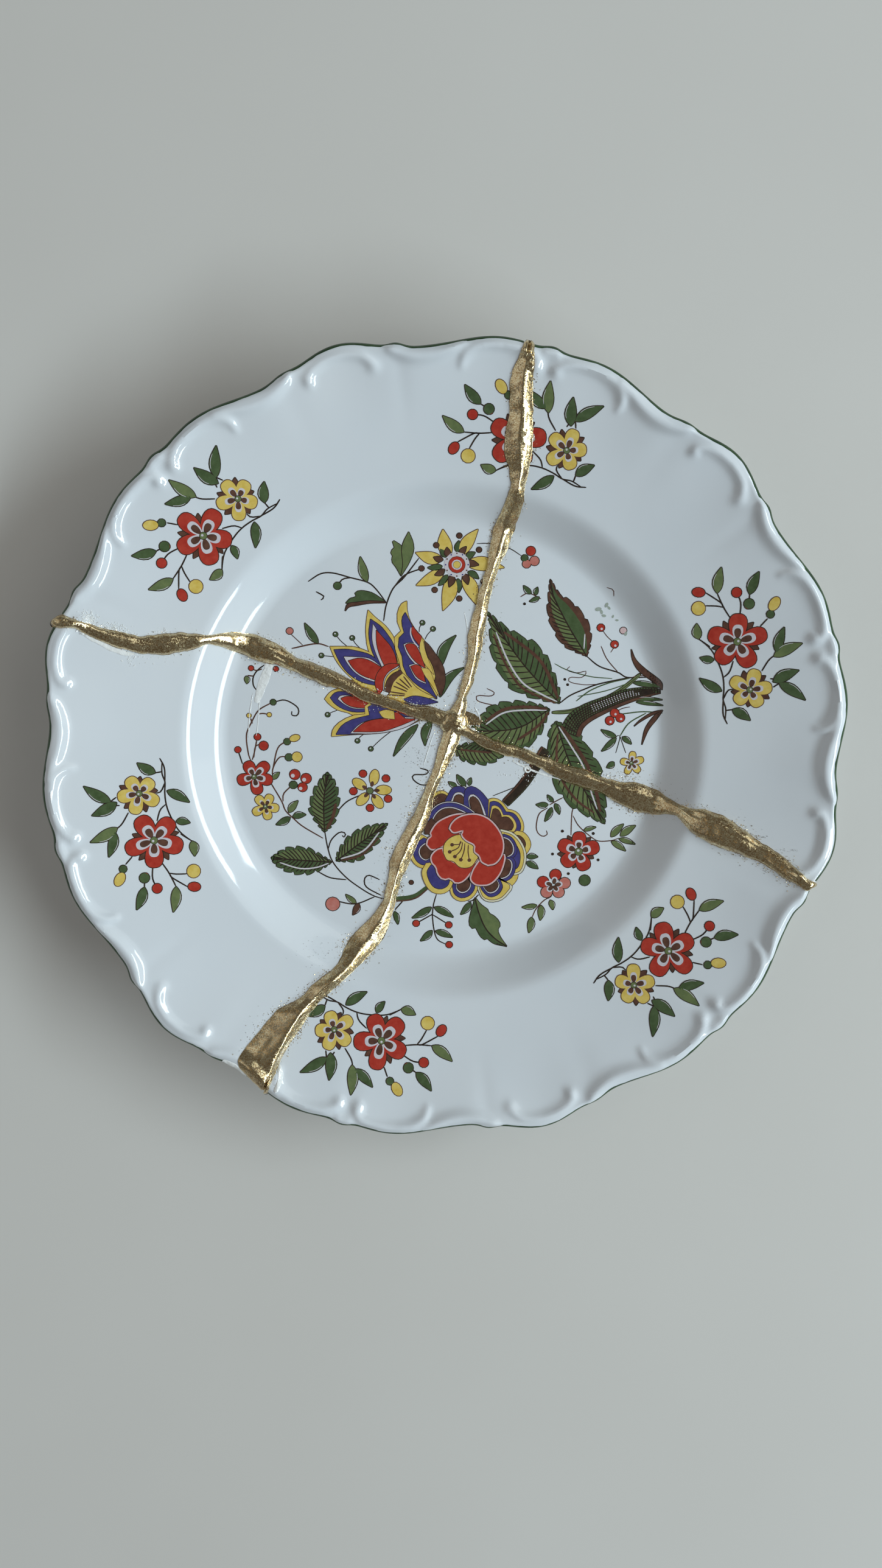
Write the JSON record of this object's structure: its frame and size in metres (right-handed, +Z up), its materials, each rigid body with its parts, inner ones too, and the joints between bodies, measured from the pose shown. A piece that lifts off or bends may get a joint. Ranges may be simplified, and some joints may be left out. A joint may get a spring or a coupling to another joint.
{
  "type": "broken and mended dessert plate",
  "caption": "Scalloped dessert plate broken into sherds and rejoined with raised gold seams; a shallow well on a foot ring, with a flower bouquet and rim sprigs.",
  "frame": {"origin": "centre of the foot ring, on the surface that the plate stands on", "axes": "+Z up out of the well, +Y towards the top of the flower bouquet, +X to its right"},
  "size_m": [0.1928, 0.1924, 0.0222],
  "materials": {
    "glaze": "clear gloss glaze on white porcelain, with enamel colours fired on",
    "gold_epoxy": "epoxy filler with a gold powder skin, glittering and slightly grainy"
  },
  "bodies": {
    "root": {"sherd_upper_left": "glaze", "sherd_upper_right": "glaze", "sherd_lower_right": "glaze", "sherd_lower_left": "glaze", "gold_seam": "gold_epoxy"}
  },
  "joints": []
}
